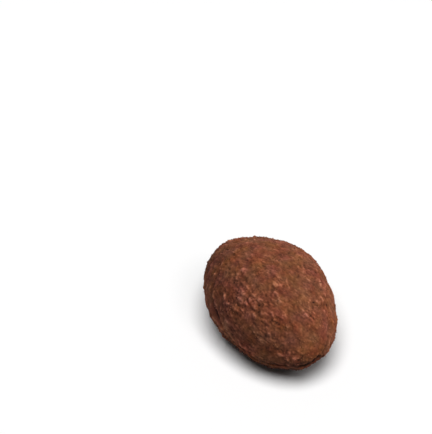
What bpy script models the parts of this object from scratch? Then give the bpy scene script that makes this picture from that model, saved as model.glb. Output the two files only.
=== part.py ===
"""A cocoa dusted almond: one whole almond in a thick chocolate coat, rolled in cocoa powder.

It is one piece of food, so it is one closed solid. Units are metres and +Z is up. The origin is
on the surface that the almond lies on, under the middle of its outline. +X runs along the almond
to its narrower end, +Y across it.
"""

import bmesh
import bpy
import numpy as np

# The coated almond's size. It lies on its broad side, on a small flat spot worn into the coat.
LENGTH = 0.0280
WIDTH = 0.0182
HEIGHT = 0.0152
FOOT_DEPTH = 0.00025

# Where it differs from a plain ellipsoid, as shares of its radius.
END_TAPER = 0.022  # slimmer towards +X by this much, and fuller towards -X
SIDE_LEAN = 0.028  # drawn in between the top and the tips, seen from the side
ROUND_FULLNESS = 0.02  # filled out between the top and the sides, seen from an end

# The coat's broad lumps, and its flats where the height is below zero: direction, height.
LUMP_SPREAD = 0.35
LUMPS = (
    ((-0.15, 0.87, 0.48), 0.00035),
    ((-0.78, 0.25, 0.57), -0.00020),
    ((-0.61, -0.79, 0.00), -0.00020),
    ((0.15, -0.87, -0.48), -0.00025),
    ((0.61, 0.79, 0.00), -0.00010),
    ((0.87, 0.33, -0.36), -0.00010),
)

# How unevenly the chocolate set under the powder: wave length, height, number of waves, seed.
SWELLS = (0.008, 0.00008, 40, 67)
DIMPLES = (0.003, 0.00004, 80, 68)

CELLS_PER_SIDE = 30
NODE_NAME = "cocoa_dusted_almond"
COCOA_COLOUR = (0.185, 0.062, 0.032, 1.0)
COCOA_ROUGHNESS = 0.9


def clear_scene():
    """Takes away whatever the new file holds."""
    for item in list(bpy.data.objects):
        bpy.data.objects.remove(item, do_unlink=True)


def round_grid(cells):
    """A ball's mesh of even four-sided cells: a cube's faces cut into squares and blown up."""
    mesh = bpy.data.meshes.new(NODE_NAME)
    shape = bmesh.new()
    bmesh.ops.create_cube(shape, size=2.0)
    bmesh.ops.subdivide_edges(shape, edges=shape.edges[:], cuts=cells - 1, use_grid_fill=True)
    shape.to_mesh(mesh)
    shape.free()
    corners = np.empty(len(mesh.vertices) * 3)
    mesh.vertices.foreach_get("co", corners)
    directions = np.tan(corners.reshape(-1, 3) * np.pi / 4)
    directions /= np.linalg.norm(directions, axis=1)[:, None]
    return mesh, directions


def waves(points, wave_length, height, count, seed):
    """A smooth uneven field over the points: many plane waves of nearly one length."""
    draw = np.random.default_rng(seed)
    headings = draw.normal(size=(count, 3))
    headings /= np.linalg.norm(headings, axis=1)[:, None]
    lengths = wave_length * draw.uniform(0.75, 1.35, count)
    phases = draw.uniform(0, 2 * np.pi, count)
    angles = points @ (2 * np.pi * headings / lengths[:, None]).T + phases
    return height * np.sqrt(2 / count) * np.cos(angles).sum(axis=1)


def almond_surface(directions):
    """Where each direction from the almond's middle meets the outside of its coat."""
    full_size = np.array((LENGTH, WIDTH, HEIGHT + FOOT_DEPTH))
    x, y, z = directions.T
    fullness = 1 - 4 * SIDE_LEAN * (x * z) ** 2 + 4 * ROUND_FULLNESS * (y * z) ** 2
    girth = fullness * (1 - END_TAPER * x)
    points = directions * full_size / 2 * np.column_stack((fullness, girth, girth))
    outward = points / full_size**2
    outward /= np.linalg.norm(outward, axis=1)[:, None]
    rise = waves(points, *SWELLS) + waves(points, *DIMPLES)
    for direction, height in LUMPS:
        centre = np.array(direction) / np.linalg.norm(direction)
        distance = np.linalg.norm(directions - centre, axis=1)
        rise += height * np.exp(-(distance**2) / (2 * LUMP_SPREAD**2))
    points += outward * rise[:, None]
    return points * full_size / np.ptp(points, axis=0)


def stand_on_foot(points):
    """Presses the lowest bulge flat, and puts the origin under the middle of the outline."""
    level = points[:, 2].min() + FOOT_DEPTH
    points[:, 2] = np.maximum(points[:, 2], level)
    middle = (points.min(axis=0) + points.max(axis=0)) / 2
    return points - (middle[0], middle[1], level)


def cocoa_material():
    """Dry cocoa powder: a warm dull brown with no gloss."""
    material = bpy.data.materials.new("cocoa_powder")
    material.use_nodes = True
    shader = material.node_tree.nodes["Principled BSDF"]
    shader.inputs["Base Color"].default_value = COCOA_COLOUR
    shader.inputs["Roughness"].default_value = COCOA_ROUGHNESS
    shader.inputs["Metallic"].default_value = 0.0
    return material


def make_almond():
    """The one solid: coat, lumps and dimples, with its foot on the ground."""
    mesh, directions = round_grid(CELLS_PER_SIDE)
    points = stand_on_foot(almond_surface(directions))
    mesh.vertices.foreach_set("co", points.ravel())
    mesh.update()
    mesh.shade_smooth()
    mesh.materials.append(cocoa_material())
    almond = bpy.data.objects.new(NODE_NAME, mesh)
    bpy.context.scene.collection.objects.link(almond)
    return almond


clear_scene()
make_almond()
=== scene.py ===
# %% [markdown]
# # A cocoa dusted almond
#
# The real sweet is an almond in a thick coat of dark chocolate. While the coat was still tacky it
# was rolled in cocoa powder, so nothing of the chocolate's gloss is left: the eye sees a dry, dull,
# finely wrinkled brown skin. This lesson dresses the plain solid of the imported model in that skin.
#
# The first cell loads the solid as a fixed frame. Every piece made later is placed around it.

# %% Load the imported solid
import math

import bmesh
import bpy
import numpy as np
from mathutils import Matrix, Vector
from mathutils.kdtree import KDTree


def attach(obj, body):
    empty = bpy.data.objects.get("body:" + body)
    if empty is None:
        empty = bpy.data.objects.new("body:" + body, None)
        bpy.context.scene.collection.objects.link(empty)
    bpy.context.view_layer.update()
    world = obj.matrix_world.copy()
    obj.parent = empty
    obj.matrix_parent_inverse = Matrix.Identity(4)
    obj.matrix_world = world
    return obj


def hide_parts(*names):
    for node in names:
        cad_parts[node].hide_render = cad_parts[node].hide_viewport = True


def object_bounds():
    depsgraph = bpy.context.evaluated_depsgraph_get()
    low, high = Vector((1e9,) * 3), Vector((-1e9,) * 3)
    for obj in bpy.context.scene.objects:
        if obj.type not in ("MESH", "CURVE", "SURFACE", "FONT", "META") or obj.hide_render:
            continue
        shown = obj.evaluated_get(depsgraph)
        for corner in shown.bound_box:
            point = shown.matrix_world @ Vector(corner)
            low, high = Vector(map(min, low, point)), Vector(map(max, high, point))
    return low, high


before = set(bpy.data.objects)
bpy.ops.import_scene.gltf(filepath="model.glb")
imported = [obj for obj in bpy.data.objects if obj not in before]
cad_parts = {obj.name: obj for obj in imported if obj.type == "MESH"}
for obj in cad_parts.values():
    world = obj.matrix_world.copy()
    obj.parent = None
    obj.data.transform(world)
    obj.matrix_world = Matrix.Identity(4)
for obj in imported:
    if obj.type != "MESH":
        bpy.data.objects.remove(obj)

MM = 0.001
NODE = "cocoa_dusted_almond"
solid_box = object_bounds()
middle = (solid_box[0] + solid_box[1]) / 2
print("solid, mm:", [round(side / MM, 2) for side in solid_box[1] - solid_box[0]])

# %% [markdown]
# ## The camera
#
# The photograph was taken from about 40 degrees above the table, with the almond's narrower end
# turned towards the lens. A long lens at 0.4 m gives the small amount of perspective that such a
# picture has. The almond doesn't sit in the middle of the picture, so the camera is turned a little
# aside. Shifting the lens would do the same, but the shift would stay on in every other view.

# %% Aim the camera
PHOTO_SIZE = (432, 434)
ALMOND_PIXEL = (269.8, 301.9)  # where the almond's middle is in the photograph
PIXELS_PER_MM = 6.57
CAMERA_DISTANCE = 0.4
NEAREST_SEEN = 0.01
SENSOR = 36.0
VIEW_AZIMUTH = math.radians(63.9)
VIEW_ELEVATION = math.radians(40)

rightward = Vector((math.cos(VIEW_AZIMUTH), math.sin(VIEW_AZIMUTH), 0))
away = Vector((-math.sin(VIEW_AZIMUTH), math.cos(VIEW_AZIMUTH), 0))
upward = Vector((0, 0, 1))
to_camera = upward * math.sin(VIEW_ELEVATION) - away * math.cos(VIEW_ELEVATION)

focal_pixels = PIXELS_PER_MM * CAMERA_DISTANCE / MM
sight = Vector((
    ALMOND_PIXEL[0] - PHOTO_SIZE[0] / 2,
    PHOTO_SIZE[1] / 2 - ALMOND_PIXEL[1],
    -focal_pixels,
))
straight = (-to_camera).to_track_quat("-Z", "Y")
aside = sight.rotation_difference(Vector((0, 0, -1)))

camera = bpy.data.objects.new("camera", bpy.data.cameras.new("camera"))
bpy.context.scene.collection.objects.link(camera)
camera.data.sensor_width = SENSOR
camera.data.lens = focal_pixels / max(PHOTO_SIZE) * SENSOR
camera.data.clip_start = NEAREST_SEEN
camera.location = middle + to_camera * CAMERA_DISTANCE
camera.rotation_mode = "QUATERNION"
camera.rotation_quaternion = straight @ aside
bpy.context.scene.camera = camera
print("lens, mm:", round(camera.data.lens))

# %% [markdown]
# ## The skin's mesh
#
# The skin has to have the solid's own form, so it starts as a copy of the solid's mesh. The packed
# mesh is loose triangles: they are welded, joined in pairs to squares, and subdivided twice. The
# squares are then about an eighth of a millimetre wide, less than a pixel of the photograph, which
# is fine enough to carry the wrinkles of the powder as real relief.

# %% Copy the solid
WELD = 0.001 * MM

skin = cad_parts[NODE].copy()
skin.data = skin.data.copy()
for leftover in list(skin.keys()):
    del skin[leftover]
skin.name = skin.data.name = "cocoa_skin"
skin.parent = None
bpy.context.scene.collection.objects.link(skin)

shape = bmesh.new()
shape.from_mesh(skin.data)
bmesh.ops.remove_doubles(shape, verts=shape.verts[:], dist=WELD)
bmesh.ops.join_triangles(
    shape,
    faces=shape.faces[:],
    angle_face_threshold=math.pi,
    angle_shape_threshold=math.pi,
)
shape.to_mesh(skin.data)
shape.free()
print("copied:", len(skin.data.polygons), "squares")

# %% Make the copy fine
FINE_LEVELS = 2

finer = skin.modifiers.new("finer", "SUBSURF")
finer.levels = finer.render_levels = FINE_LEVELS
bpy.context.view_layer.objects.active = skin
fine_mesh = bpy.data.meshes.new_from_object(
    skin.evaluated_get(bpy.context.evaluated_depsgraph_get())
)
skin.modifiers.clear()
skin.data = fine_mesh
skin.data.shade_smooth()

places = np.empty(len(skin.data.vertices) * 3)
skin.data.vertices.foreach_get("co", places)
places = places.reshape(-1, 3)
outward = np.empty(len(skin.data.vertices) * 3, dtype=np.float32)
skin.data.vertex_normals.foreach_get("vector", outward)
outward = outward.reshape(-1, 3).astype(float)
print("skin:", len(places), "corners,", len(skin.data.polygons), "squares")

# %% [markdown]
# ## Knobs and grain
#
# Cocoa powder on tacky chocolate clots into small flat pats and finer grain, over gentler knobs of
# the chocolate below. A sculpting brush could do it by hand, but rules are quicker to correct. The
# first rule is a sum of many plane waves of nearly one length, which is a smooth random field. It
# serves for the knobs and the grain here, and later for whatever has to be uneven.
#
# Wherever a field is named, three numbers stand together: its wave length, how many waves it sums
# up, and its seed. The lengths are real sizes, read off the photograph at 6.57 pixels to the
# millimetre.

# %% Sum up plane waves
SHORTEST_WAVE, LONGEST_WAVE = 0.75, 1.35  # as shares of the wave length
KNOB_WAVES, KNOB_HEIGHT = (2.3 * MM, 80, 1), 0.025 * MM
GRAIN_WAVES, GRAIN_HEIGHT = (0.42 * MM, 160, 4), 0.012 * MM


def waves(points, wave_length, count, seed):
    """A smooth random field over the points, with a mean of 0 and a spread of 1."""
    draw = np.random.default_rng(seed)
    headings = draw.normal(size=(count, 3))
    headings /= np.linalg.norm(headings, axis=1)[:, None]
    lengths = wave_length * draw.uniform(SHORTEST_WAVE, LONGEST_WAVE, count)
    phases = draw.uniform(0, 2 * np.pi, count)
    angles = points @ (2 * np.pi * headings / lengths[:, None]).T + phases
    return np.sqrt(2 / count) * np.cos(angles).sum(axis=1)


knobs = waves(places, *KNOB_WAVES)
grain = waves(places, *GRAIN_WAVES)
print("knobs and grain spread:", round(float(knobs.std()), 2), round(float(grain.std()), 2))

# %% [markdown]
# ## Heaps
#
# A plain sum of waves looks like a calm sea. Heaps of powder are rounder on top and ragged at the
# foot. So the points are first pushed aside by other waves, which curls the pattern, and the field is
# then bent so that its tops stand out more than its hollows go in. Both heaps and pats are drawn out
# along the almond, as they are after it has been rolled: the points are squeezed that way first.

# %% Bend the waves into heaps
DRAWN_OUT = 1.5  # how much longer heaps and pats are along the almond than across it
HEAP_LIFT = 0.5  # how far the tops are drawn up: 0 leaves plain waves
HEAP_WAVES, HEAP_HEIGHT = (0.88 * MM, 120, 2), 0.026 * MM
CURL_LENGTH, CURL_REACH, CURL_SEED = 2.4 * MM, 0.20 * MM, 20
PUSHING_WAVES = 40


def warped(points, wave_length, reach, seed):
    """The points, pushed aside by up to about the reach, so that plain patterns turn ragged."""
    push = [waves(points, wave_length, PUSHING_WAVES, seed + axis) for axis in range(3)]
    return points + reach * np.column_stack(push)


squeezed = places / (DRAWN_OUT, 1, 1)
heaps = np.exp(HEAP_LIFT * waves(warped(squeezed, CURL_LENGTH, CURL_REACH, CURL_SEED), *HEAP_WAVES))
heaps = (heaps - heaps.mean()) / heaps.std()
print("heaps go from", round(float(heaps.min()), 1), "to", round(float(heaps.max()), 1))

# %% [markdown]
# ## Pats
#
# The powder's smallest clots are separate flat pats. Rounded caps dropped at random places leave
# narrow dark gaps between them, as crumbs do, which no sum of waves would give. Each corner of the
# skin looks for the few caps next to it and keeps the highest.

# %% Drop the pats
PAT_COUNT, PATS_TO_TRY, PAT_SEED = 5600, 5, 3
SMALLEST_PAT, LARGEST_PAT, PAT_HEIGHT = 0.15 * MM, 0.44 * MM, 0.125 * MM
PAT_SKEW = 1.5  # above 1, so that small pats outnumber large ones
RAG_LENGTH, RAG_REACH, RAG_SEED = 0.6 * MM, 0.07 * MM, 30


def patted(points, seed):
    """Small rounded pats at random places, of height 1 at most, with a mean of 0."""
    draw = np.random.default_rng(seed)
    centres = points[draw.choice(len(points), PAT_COUNT, replace=False)]
    radii = SMALLEST_PAT + (LARGEST_PAT - SMALLEST_PAT) * draw.random(PAT_COUNT) ** PAT_SKEW
    tree = KDTree(PAT_COUNT)
    for index, centre in enumerate(centres):
        tree.insert(centre, index)
    tree.balance()
    near = [tree.find_n(point, PATS_TO_TRY) for point in points]
    which = np.array([[hit[1] for hit in hits] for hits in near])
    distance = np.array([[hit[2] for hit in hits] for hits in near])
    caps = radii[which] / LARGEST_PAT * np.clip(1 - (distance / radii[which]) ** 2, 0, 1)
    pat = caps.max(axis=1)
    return pat - pat.mean()


pats = patted(warped(squeezed, RAG_LENGTH, RAG_REACH, RAG_SEED), PAT_SEED)
print("pats stand out on", round(float((pats > 0).mean()), 2), "of the skin")

# %% [markdown]
# ## The seam
#
# A peeled almond has a blunt edge all the way round, and the coat is thinnest over it. On the real
# sweet it shows as a thin broken crack with a slight lip below it, low on the left side, and at two
# places the crack gapes. All this lies along a line where the skin meets one tilted plane. The line
# wanders a little, and sags or rises round a few spots. Modelling it by hand would give more control,
# but a line made by a rule can be moved by changing one number.

# %% Lay the seam's line
SEAM_POINT = np.array((7.5, -5.1, 6.7)) * MM
SEAM_TILT = np.array((0.42, -0.42, 0.80))
SEAM_WANDER, WANDER_WAVES = 0.14 * MM, (4.5 * MM, 40, 5)
SAGS = (  # mm: point, reach, and how far the seam drops there
    ((4.3, -8.2, 6.2), 2.2, 0.5),
    ((12.2, -3.0, 5.9), 1.6, -0.55),
    ((13.4, 0.7, 6.0), 1.3, 0.45),
)


def near_to(point, reach):
    """1 at the point, falling softly to 0 at about twice the reach. Both are in mm."""
    distance = np.linalg.norm(places - np.array(point) * MM, axis=1)
    return np.exp(-((distance / (reach * MM)) ** 2) / 2)


above_seam = (places - SEAM_POINT) @ (SEAM_TILT / np.linalg.norm(SEAM_TILT))
above_seam += SEAM_WANDER * waves(places, *WANDER_WAVES)
for point, reach, drop in SAGS:
    above_seam += drop * MM * near_to(point, reach)
print("the skin goes up to", round(float(above_seam.max() / MM), 1), "mm above the seam")

# %% [markdown]
# ## The crack
#
# The crack shows on the left and at the narrower end, and fades out towards the broad end. Where
# another random field is low it is broken, and round two spots it is wide open.

# %% Open the crack
SEAM_SIDE = np.array((0.30, -0.95, 0.0))  # left, and a little towards the narrower end
LEFT_START, LEFT_RANGE = 0.2, 6 * MM  # it starts just right of the middle, and grows leftwards
FADED_OUT, FADE_RANGE = -5 * MM, 4 * MM  # along the almond, towards its broad end
BREAK_WAVES, BREAK_LEVEL, BREAK_SHARPNESS = (2.4 * MM, 60, 6), 0.75, 1.2  # level 1: few breaks
GAPES = (((0.4, -8.8, 8.2), 0.8), ((13.4, 0.5, 5.9), 1.1))  # mm: point, reach
GAPE_WIDENING = 1.6
CRACK_WIDTH, CRACK_DEPTH = 0.27 * MM, 0.42 * MM

leftness = LEFT_START + places @ SEAM_SIDE / LEFT_RANGE
near_left = np.clip(leftness, 0, 1) * np.clip((places[:, 0] - FADED_OUT) / FADE_RANGE, 0, 1)
gape = sum(near_to(point, reach) for point, reach in GAPES)
whole = np.clip(BREAK_LEVEL + BREAK_SHARPNESS * waves(places, *BREAK_WAVES), 0, 1)
unbroken = np.maximum(near_left * whole, gape)
crack_width = CRACK_WIDTH * (1 + GAPE_WIDENING * gape)
crack = unbroken * np.exp(-((above_seam / crack_width) ** 2))
print("cracked:", round(float((crack > 0.5).mean()) * 100, 2), "% of the skin")

# %% [markdown]
# ## The lip and the edge
#
# The lip below the crack stands out a little, and it is painted lighter as a painted highlight. On
# one stretch of the left side it lies further down and is wider. Lowest down, the coat's edge above
# the crack stands out too, with painted highlights in dashes. Both are bands at a set distance from
# the seam's line.

# %% Raise the lip and the edge
LIP_DROP, LIP_WIDTH, LIP_HEIGHT = 0.55 * MM, 0.24 * MM, 0.09 * MM
LIP_LEAST = 0.4  # what is left of the lip where the crack is broken
SPREAD_SPOT, SPREAD_REACH = (-1.5, -8.9, 7.6), 2.2  # mm: here the lip is lower and wider
SPREAD_DROP = 2
EDGE_RISE, EDGE_WIDTH, EDGE_HEIGHT = 0.90 * MM, 0.45 * MM, 0.06 * MM
EDGE_SPOT, EDGE_REACH = (5.5, -7.6, 6.6), 3.2  # mm: here the edge above the crack stands out
DASH_WAVES, DASH_LEVEL, DASH_SHARPNESS = (1.1 * MM, 60, 12), 0.4, 0.9

spread = near_to(SPREAD_SPOT, SPREAD_REACH)
lip_drop = LIP_DROP * (1 + SPREAD_DROP * spread)
lip = np.exp(-(((above_seam + lip_drop) / (LIP_WIDTH * (1 + spread))) ** 2))
lip *= near_left * (LIP_LEAST + (1 - LIP_LEAST) * unbroken)
edge = np.exp(-(((above_seam - EDGE_RISE) / EDGE_WIDTH) ** 2)) * near_to(EDGE_SPOT, EDGE_REACH)
edge *= np.clip(DASH_LEVEL + DASH_SHARPNESS * waves(places, *DASH_WAVES), 0, 1)
print("lip:", round(float((lip > 0.5).mean()) * 100, 2), "% of the skin")

# %% [markdown]
# ## Painted shade underneath
#
# The lower rim lies in shade and looks dark. So that shade is painted on: the powder is made thin on
# the underside, and most so at two spots. How that looks further down is a guess. The edge of the
# darkened part is ragged, because a straight one would look like a tide mark from behind.

# %% Paint shade on the underside
UNDERSIDE_SHADE_START, UNDERSIDE_SHADE_RANGE = 0.45, 0.35  # how far a spot faces down, from 0 to 1
FINE_RAGS, FINE_RAGGEDNESS = (1.3 * MM, 60, 10), 0.16
BROAD_RAGS, BROAD_RAGGEDNESS = (5 * MM, 40, 11), 0.10
UNDERSIDE_SHADE_SPOTS = (((5.0, -7.6, 4.6), 3.6), ((13.2, 0.2, 4.2), 2.4))  # mm: point and reach of the spots where the painted shade reaches higher up
SPOT_SHADE_MORE = 0.40  # how much less a spot there has to face down

raggedness = FINE_RAGGEDNESS * waves(places, *FINE_RAGS)
raggedness += BROAD_RAGGEDNESS * waves(places, *BROAD_RAGS)
raggedness += SPOT_SHADE_MORE * sum(near_to(point, reach) for point, reach in UNDERSIDE_SHADE_SPOTS)
# Painted shade: the more a spot faces down, the less powder it keeps, so the darker it is.
painted_underside_shade = np.clip((-outward[:, 2] - UNDERSIDE_SHADE_START + raggedness) / UNDERSIDE_SHADE_RANGE, 0, 1)
print("rubbed:", round(float((painted_underside_shade > 0.5).mean()) * 100), "% of the skin")

# %% [markdown]
# ## Moving the skin
#
# All heights are added up, and the skin's corners are moved outwards by them. The pats are boldest
# at one spot and on the left, and meekest at another spot. Two broad bulges fill out the outline at
# the narrower end and at the top. Everything fades out towards the foot, so that it stays flat.

# %% Raise and crack the skin
BOLD_SPOT, BOLD_REACH = (4.0, -2.5, 14.0), 4.5  # mm, where the pats stand highest
MEEK_SPOT, MEEK_REACH = (10.3, -4.2, 8.7), 2.6  # mm, where they hardly stand out
BOLDNESS, MORE_AT_BOLD, LESS_AT_MEEK = 0.99, 0.28, 0.40
MORE_AT_LEFT, WELL_LEFT = 0.35, 0.8  # bolder by this much, from this leftness on
UNEVEN_WAVES, UNEVENNESS = (6 * MM, 40, 9), 0.10
BULGES = (((13.0, -0.8, 4.9), 1.2, 0.32), ((-9.0, 2.5, 12.6), 0.9, 0.22))  # mm, height last
FOOT_FADE = 0.6 * MM

thickest = near_to(BOLD_SPOT, BOLD_REACH)
boldness = BOLDNESS + MORE_AT_BOLD * thickest - LESS_AT_MEEK * near_to(MEEK_SPOT, MEEK_REACH)
boldness += MORE_AT_LEFT * np.clip(leftness - WELL_LEFT, 0, 1)
boldness += UNEVENNESS * waves(places, *UNEVEN_WAVES)
rise = KNOB_HEIGHT * knobs + LIP_HEIGHT * lip + EDGE_HEIGHT * edge - CRACK_DEPTH * crack
rise += sum(height * MM * near_to(point, reach) for point, reach, height in BULGES)
rise += boldness * (HEAP_HEIGHT * heaps + PAT_HEIGHT * pats + GRAIN_HEIGHT * grain)
above_foot = np.clip(places[:, 2] / FOOT_FADE, 0, 1)
raised = places + outward * (rise * above_foot)[:, None]
raised[:, 2] = np.maximum(raised[:, 2], solid_box[0].z)
skin.data.vertices.foreach_set("co", raised.ravel())
skin.data.update()
print("relief, mm:", round(rise.min() / MM, 3), "to", round(rise.max() / MM, 3))

# %% [markdown]
# ## Where the powder lies
#
# Powder piles up on the pats and is thin between them, where the dark chocolate shows through. So
# the skin keeps one number for each corner, from 0 for bare chocolate to 1 for a thick pat. The same
# number also carries painted shade underneath and in the crack, and painted highlights on the lip and
# the edge. The material reads it as an attribute.

# %% Store the powder's thickness
EVEN_POWDER, BOLD_POWDER, KNOB_POWDER = 0.50, 0.10, 0.04
HEAP_POWDER, PAT_POWDER, GRAIN_POWDER = 0.09, 0.28, 0.08
# Painted highlights: how much lighter the lip and the edge's dashes are made.
LIP_PAINTED_HIGHLIGHT, EDGE_PAINTED_HIGHLIGHT = 0.55, 0.50
UNDERSIDE_SHADE_DEPTH = 0.8  # the share of its powder that a spot loses where the painted underside shade is full


def store_powder(mesh, thickness):
    """Keeps the powder's thickness, from 0 to 1, at each corner of the mesh."""
    powder = mesh.attributes.new("powder", "FLOAT", "POINT")
    powder.data.foreach_set("value", np.clip(thickness, 0, 1).astype(np.float32))


thickness = EVEN_POWDER + BOLD_POWDER * thickest + KNOB_POWDER * knobs
thickness += boldness * (HEAP_POWDER * heaps + PAT_POWDER * pats + GRAIN_POWDER * grain)
# Painted shade thins the powder underneath; painted highlights add to it on the lip and the edge.
thickness = thickness * (1 - UNDERSIDE_SHADE_DEPTH * painted_underside_shade) + LIP_PAINTED_HIGHLIGHT * lip + EDGE_PAINTED_HIGHLIGHT * edge
# The crack is painted near black: bare chocolate, with painted shade in the groove.
thickness *= 1 - crack
store_powder(skin.data, thickness)
print("powder:", round(float(thickness.mean()), 2), "+-", round(float(thickness.std()), 2))

# %% [markdown]
# ## Loose crumbs
#
# Cocoa clots, so the skin is strewn with crumbs of a tenth of a millimetre or two. A particle system
# would be quick, but a model made of real mesh can be used anywhere. One crumb is a ball of twenty
# faces. All crumbs are worked out at once: each is squashed, dented and turned at random, and set a
# little into the skin.

# %% Choose where the crumbs lie
CRUMB_COUNT, CRUMB_SEED = 6000, 7
DRIFT_WAVES, DRIFT_MEAN, DRIFT_SWING = (3.0 * MM, 50, 8), 0.5, 0.5
LEAST_DRIFT = 0.08  # some crumbs lie even where they are scarcest
CLEAR_OF_TABLE = 0.5 * MM

draw = np.random.default_rng(CRUMB_SEED)
drift = np.clip(DRIFT_MEAN + DRIFT_SWING * waves(raised, *DRIFT_WAVES), LEAST_DRIFT, None)
drift[raised[:, 2] < CLEAR_OF_TABLE] = 0
sites = draw.choice(len(raised), CRUMB_COUNT, replace=False, p=drift / drift.sum())
print("lowest crumb, mm:", round(float(raised[sites, 2].min() / MM), 2))

# %% Shape the crumbs
SMALLEST_CRUMB, LARGEST_CRUMB = 0.04 * MM, 0.095 * MM
CRUMB_SKEW = 3  # well above 1, so that most crumbs are small
CRUMB_SINK = 0.5  # of its radius, how deep a crumb sits in the skin
DENTS = (0.7, 1.25)
SQUASH = (0.65, 1.2)
CRUMB_POWDER = (0.35, 1.0)

ball = bmesh.new()
bmesh.ops.create_icosphere(ball, subdivisions=1, radius=1.0)
ball_corners = np.array([corner.co[:] for corner in ball.verts])
ball_faces = np.array([[corner.index for corner in face.verts] for face in ball.faces])
ball.free()

radii = SMALLEST_CRUMB + (LARGEST_CRUMB - SMALLEST_CRUMB) * draw.random(CRUMB_COUNT) ** CRUMB_SKEW
dents = draw.uniform(*DENTS, (CRUMB_COUNT, len(ball_corners), 1))
squash = draw.uniform(*SQUASH, (CRUMB_COUNT, 1, 3))
turns = np.linalg.qr(draw.normal(size=(CRUMB_COUNT, 3, 3)))[0]
crumb_corners = np.einsum("nij,nkj->nki", turns, ball_corners * dents * squash)
crumb_corners *= radii[:, None, None]
crumb_corners += (raised[sites] + outward[sites] * (radii * (1 - CRUMB_SINK))[:, None])[:, None]
print("middling crumb, mm across:", round(float(np.median(radii)) * 2 / MM, 3))

# %% Make the crumbs' mesh
first_corners = np.arange(CRUMB_COUNT)[:, None, None] * len(ball_corners)
crumb_faces = (first_corners + ball_faces).reshape(-1, 3)
crumb_mesh = bpy.data.meshes.new("cocoa_crumbs")
crumb_mesh.from_pydata(crumb_corners.reshape(-1, 3).tolist(), [], crumb_faces.tolist())
crumb_mesh.shade_smooth()
crumbs = bpy.data.objects.new("cocoa_crumbs", crumb_mesh)
bpy.context.scene.collection.objects.link(crumbs)
store_powder(crumb_mesh, np.repeat(draw.uniform(*CRUMB_POWDER, CRUMB_COUNT), len(ball_corners)))
print("crumbs:", CRUMB_COUNT, "with", len(crumb_mesh.polygons), "faces")

# %% [markdown]
# ## Small helpers for the finish
#
# Colours are written as the sRGB hex values that a paint program shows. Blender's shaders want
# linear light, so one function turns them. Another adds a node together with its settings and links.

# %% Colour and node helpers
def linear(hex_colour):
    """A linear RGBA colour from an sRGB hex value such as "7A4A33"."""
    shares = [int(hex_colour[i:i + 2], 16) / 255 for i in (0, 2, 4)]
    light = [s / 12.92 if s <= 0.04045 else ((s + 0.055) / 1.055) ** 2.4 for s in shares]
    return (*light, 1.0)


def add_node(tree, kind, settings=None, inputs=None):
    """Adds a node. An input is a plain value, or the socket of another node to link."""
    node = tree.nodes.new(kind)
    for name, value in (settings or {}).items():
        setattr(node, name, value)
    for name, value in (inputs or {}).items():
        if isinstance(value, bpy.types.NodeSocket):
            tree.links.new(value, node.inputs[name])
        else:
            node.inputs[name].default_value = value
    return node


print("a middling brown in linear light:", [round(share, 3) for share in linear("7A4A33")[:3]])

# %% [markdown]
# ## The finish: cocoa powder
#
# Natural cocoa is a dry powder of fat and fibre. It has no gloss: light goes in among the grains and
# comes out every way, which keeps the form bright almost to its edge. That is a high roughness, a
# high diffuse roughness and next to no specular light. The index of refraction is cocoa butter's,
# about 1.46.
#
# Cocoa isn't one brown. It is dark where the chocolate is bare and palest where a pat is thickest.
# A colour ramp over the powder's thickness gives that. Its near black end is painted shade in the
# crack, darker than bare chocolate, and the lightening towards its palest end also gives the painted
# highlights on the lip and the edge.

# %% Choose the browns
COCOA_TONES = (  # the powder's thickness, and its colour there
    # near black: painted shade in the crack, darker than bare chocolate
    (0.03, "140906"),
    (0.12, "331C12"),
    (0.25, "4B2A1B"),
    (0.5, "5A3321"),
    (0.75, "6A3E2A"),
    (1.0, "86543D"),
)


def powder_tone(tree):
    """The brown that goes with the powder's thickness, as a node's socket."""
    powder = add_node(tree, "ShaderNodeAttribute", {"attribute_name": "powder"})
    tone = add_node(tree, "ShaderNodeValToRGB", {}, {"Fac": powder.outputs["Fac"]})
    stops = tone.color_ramp.elements
    stops.remove(stops[1])
    stops[0].position, stops[0].color = COCOA_TONES[0][0], linear(COCOA_TONES[0][1])
    for thickness_there, hex_colour in COCOA_TONES[1:]:
        stops.new(thickness_there).color = linear(hex_colour)
    return tone.outputs["Color"]


print("browns:", ", ".join(tone[1] for tone in COCOA_TONES))

# %% [markdown]
# ## Uneven browns
#
# Cocoa is also darker and redder where it has drawn fat from the chocolate, and paler and nearer to
# olive where it is dry. Three shares of one soft noise change its brightness, hue and saturation by
# a little, and finer specks change its brightness. A real grain of cocoa is a fiftieth of a
# millimetre, too fine to show, so the specks are drawn as coarse as two pixels. A painted texture
# could show the same, but it would have a seam and a fixed sharpness.

# %% Make the brown uneven
PATCH_LENGTH = 2.5 * MM
SPECK_LENGTH = 0.30 * MM
NOISE_RANGE = (0.3, 0.7)  # nearly all values of a noise lie in here
PATCH_BRIGHTNESS = (0.86, 1.14)
SPECK_BRIGHTNESS = (0.80, 1.20)
HUE = (0.490, 0.509)  # 0.5 changes nothing
SATURATION = (0.95, 1.05)


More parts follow.
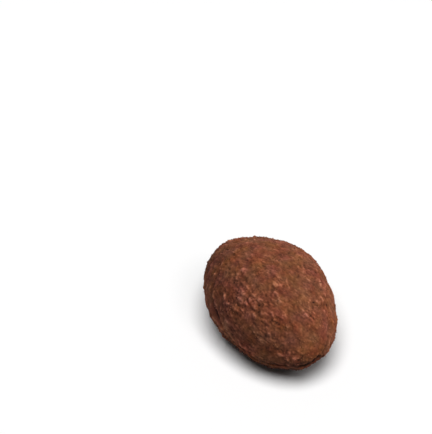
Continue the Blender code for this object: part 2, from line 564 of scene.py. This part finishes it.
def cocoa_brown(tree, place, specks):
    """The powder's uneven brown, as a node's socket."""
    patches = add_node(
        tree, "ShaderNodeTexNoise", {},
        {"Vector": place, "Scale": 1 / PATCH_LENGTH, "Detail": 2.0, "Roughness": 0.5},
    )
    shares = add_node(tree, "ShaderNodeSeparateColor", {}, {"Color": patches.outputs["Color"]})
    changes = []
    for noise, (lowest, highest) in (
        (shares.outputs["Red"], PATCH_BRIGHTNESS),
        (specks, SPECK_BRIGHTNESS),
        (shares.outputs["Green"], HUE),
        (shares.outputs["Blue"], SATURATION),
    ):
        stretched = add_node(
            tree, "ShaderNodeMapRange", {},
            {"Value": noise, "From Min": NOISE_RANGE[0], "From Max": NOISE_RANGE[1],
             "To Min": lowest, "To Max": highest},
        )
        changes.append(stretched.outputs["Result"])
    patch_value, speck_value, hue, saturation = changes
    value = add_node(
        tree, "ShaderNodeMath", {"operation": "MULTIPLY"}, {0: patch_value, 1: speck_value}
    )
    brown = add_node(
        tree, "ShaderNodeHueSaturation", {},
        {"Color": powder_tone(tree), "Value": value.outputs["Value"], "Hue": hue,
         "Saturation": saturation},
    )
    return brown.outputs["Color"]


print("patches and specks, mm:", PATCH_LENGTH / MM, SPECK_LENGTH / MM)

# %% Mix the cocoa
COCOA_IOR = 1.46
COCOA_ROUGHNESS, COCOA_SCATTER = 0.95, 0.6
COCOA_GLOSS = 0.06  # Blender starts from 0.5, which suits a smooth plastic
DUST_STRENGTH, DUST_HEIGHT = 0.6, 0.03 * MM


def cocoa_powder():
    """Dull brown powder, lighter on the ridges and darker in the pits."""
    material = bpy.data.materials.new("cocoa_powder")
    material.use_nodes = True
    tree = material.node_tree
    tree.nodes.clear()
    place = add_node(tree, "ShaderNodeTexCoord").outputs["Object"]
    specks = add_node(
        tree, "ShaderNodeTexNoise", {},
        {"Vector": place, "Scale": 1 / SPECK_LENGTH, "Detail": 4.0, "Roughness": 0.7},
    ).outputs["Fac"]
    dusty = add_node(
        tree, "ShaderNodeBump", {},
        {"Height": specks, "Strength": DUST_STRENGTH, "Distance": DUST_HEIGHT},
    )
    cocoa = add_node(
        tree, "ShaderNodeBsdfPrincipled", {},
        {"Base Color": cocoa_brown(tree, place, specks), "Normal": dusty.outputs["Normal"],
         "Roughness": COCOA_ROUGHNESS, "Diffuse Roughness": COCOA_SCATTER, "IOR": COCOA_IOR,
         "Specular IOR Level": COCOA_GLOSS},
    )
    add_node(tree, "ShaderNodeOutputMaterial", {}, {"Surface": cocoa.outputs["BSDF"]})
    return material


cocoa = cocoa_powder()
print("mixed", cocoa.name, "from", len(cocoa.node_tree.nodes), "nodes")

# %% [markdown]
# ## Dressing the almond
#
# The skin stands in for the solid, which stays hidden inside it. Skin and crumbs are one powder, so
# they share the material, and both ride on the almond's only body.

# %% Dress the skin and the crumbs
for piece in (skin, crumbs):
    piece.data.materials.clear()
    piece.data.materials.append(cocoa)
    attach(piece, "root")
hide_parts(NODE)
print("dressed", skin.name, "and", crumbs.name, "in", cocoa.name)

# %% [markdown]
# ## The table
#
# The ground of the photograph is plain white, so the table is matt white paper, uncoated: it has no
# gloss, and it shows the shadow and nothing else. It is far wider than the picture, so that no view
# sees its edge next to the almond.

# %% Lay the table
TABLE_SIDE = 3.0
PAPER_WHITE = "F4F4F4"
PAPER_ROUGHNESS = 0.9

table_mesh = bpy.data.meshes.new("pale_table")
half_side = TABLE_SIDE / 2
table_mesh.from_pydata(
    [(-half_side, -half_side, 0), (half_side, -half_side, 0),
     (half_side, half_side, 0), (-half_side, half_side, 0)],
    [], [(0, 1, 2, 3)],
)
table = bpy.data.objects.new("pale_table", table_mesh)
bpy.context.scene.collection.objects.link(table)
paper = bpy.data.materials.new("matt_white_paper")
paper.use_nodes = True
paper_shader = paper.node_tree.nodes["Principled BSDF"]
paper_shader.inputs["Base Color"].default_value = linear(PAPER_WHITE)
paper_shader.inputs["Roughness"].default_value = PAPER_ROUGHNESS
paper_shader.inputs["Specular IOR Level"].default_value = 0.0
table_mesh.materials.append(paper)
print("table:", TABLE_SIDE, "m each way")

# %% [markdown]
# ## The lamps
#
# The photograph has a broad, slightly warm light high on the right, and a weaker and cooler one from
# the front left. Its ground has been lightened until only the soft shadow next to the almond is left,
# so no one set of lamps gives both. Light linking solves that: the almond and the table each have
# lamps of their own. All are far lamps, which light the whole table evenly. The weak lamp behind
# isn't seen in the photograph, it only keeps the almond's back from going black.

# %% Hang the lamps
ALMOND = (skin, crumbs)
LAMPS = (  # name; azimuth, elevation and width in degrees; strength; colour; what it lights
    ("side_lamp", 91, 49, 35, 6.25, "FFFBF3", ALMOND),
    ("back_lamp", 350, 25, 35, 0.6, "FFFFFF", ALMOND),
    ("front_lamp", 212, 65, 35, 2.4, "E4E8FF", ALMOND),
    ("front_table_lamp", 180, 65, 33, 3.35, "FFFFFF", (table,)),
    ("side_table_lamp", 150, 48, 15, 0.4, "FFFFFF", (table,)),
)


def hang_lamp(name, azimuth, elevation, width, strength, hex_colour, lit_pieces):
    """Hangs a soft far lamp for these pieces. Azimuth 0 is straight behind the almond, 90 right."""
    turn, climb = math.radians(azimuth), math.radians(elevation)
    level = rightward * math.sin(turn) + away * math.cos(turn)
    to_lamp = level * math.cos(climb) + upward * math.sin(climb)
    lamp = bpy.data.objects.new(name, bpy.data.lights.new(name, "SUN"))
    lamp.data.angle = math.radians(width)
    lamp.data.energy = strength
    lamp.data.color = linear(hex_colour)[:3]
    lamp.rotation_mode = "QUATERNION"
    lamp.rotation_quaternion = to_lamp.to_track_quat("Z", "Y")
    lit = bpy.data.collections.new("lit_by_" + name)
    for piece in lit_pieces:
        lit.objects.link(piece)
    lamp.light_linking.receiver_collection = lit
    bpy.context.scene.collection.objects.link(lamp)


for lamp_facts in LAMPS:
    hang_lamp(*lamp_facts)
print("lamps:", len(LAMPS))

# %% [markdown]
# ## The air
#
# The picture's background is white. A white world gives that, but as a lamp it would wash out every
# shadow. So the camera sees it white, and what it sends out as light is dim.

# %% Fill the air
AIR_STRENGTH = 0.05

world = bpy.data.worlds.new("white_air")
world.use_nodes = True
air = world.node_tree.nodes["Background"]
air.inputs["Color"].default_value = linear("FFFFFF")
seen = add_node(world.node_tree, "ShaderNodeLightPath").outputs["Is Camera Ray"]
brightness = add_node(
    world.node_tree, "ShaderNodeMapRange", {},
    {"Value": seen, "To Min": AIR_STRENGTH, "To Max": 1.0},
)
world.node_tree.links.new(brightness.outputs["Result"], air.inputs["Strength"])
bpy.context.scene.world = world
bpy.context.scene.view_settings.view_transform = "Standard"
print("air:", AIR_STRENGTH, "as light, 1.0 to the camera")
